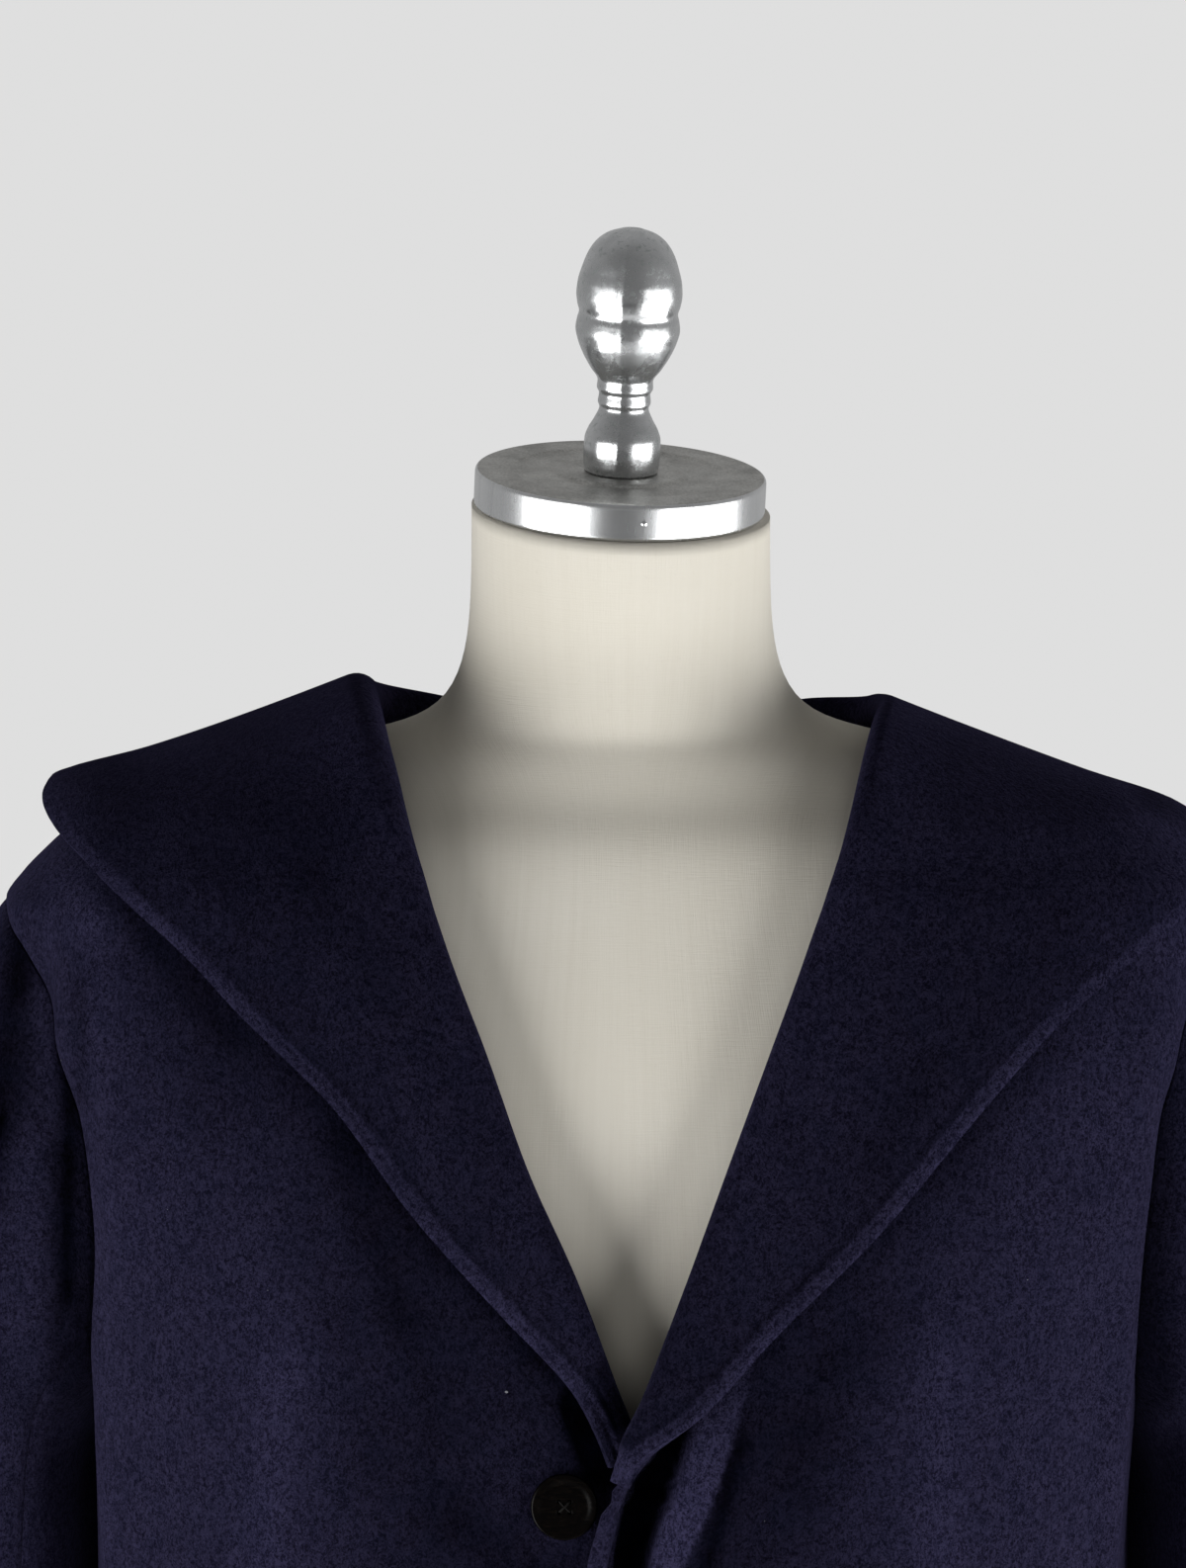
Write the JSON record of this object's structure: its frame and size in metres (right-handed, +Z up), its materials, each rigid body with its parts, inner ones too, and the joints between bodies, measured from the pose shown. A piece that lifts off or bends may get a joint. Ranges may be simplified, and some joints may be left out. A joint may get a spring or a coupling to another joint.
{
  "type": "wool overcoat on a dress form",
  "caption": "Knee-length wool overcoat with a wide turned-back shawl collar, set-in sleeves and a buttoned front, on a limbless dress form with a metal neck cap, pole and round base.",
  "frame": {"origin": "centre of the base's underside, on the floor and on the pole's axis", "axes": "+Z up along the pole, +X to the wearer's left, -Y the way the form faces"},
  "size_m": [0.684, 0.42, 1.6233],
  "materials": {
    "coat_wool": "double-faced navy wool with a short brushed nap",
    "button_horn": "near-black horn look, polished",
    "form_canvas": "cream canvas stretched over the form, matte",
    "cast_aluminium": "cast and polished, a little worn",
    "pole_steel": "drawn steel tube",
    "base_iron": "black painted casting"
  },
  "bodies": {
    "root": {"front_left": "coat_wool", "front_right": "coat_wool", "back_left": "coat_wool", "back_right": "coat_wool", "collar_left": "coat_wool", "collar_right": "coat_wool", "top_sleeve_left": "coat_wool", "top_sleeve_right": "coat_wool", "under_sleeve_left": "coat_wool", "under_sleeve_right": "coat_wool", "button_1": "button_horn", "button_2": "button_horn", "button_3": "button_horn", "form_torso": "form_canvas", "neck_cap": "cast_aluminium", "knob": "cast_aluminium", "pole": "pole_steel", "base": "base_iron"}
  },
  "joints": []
}
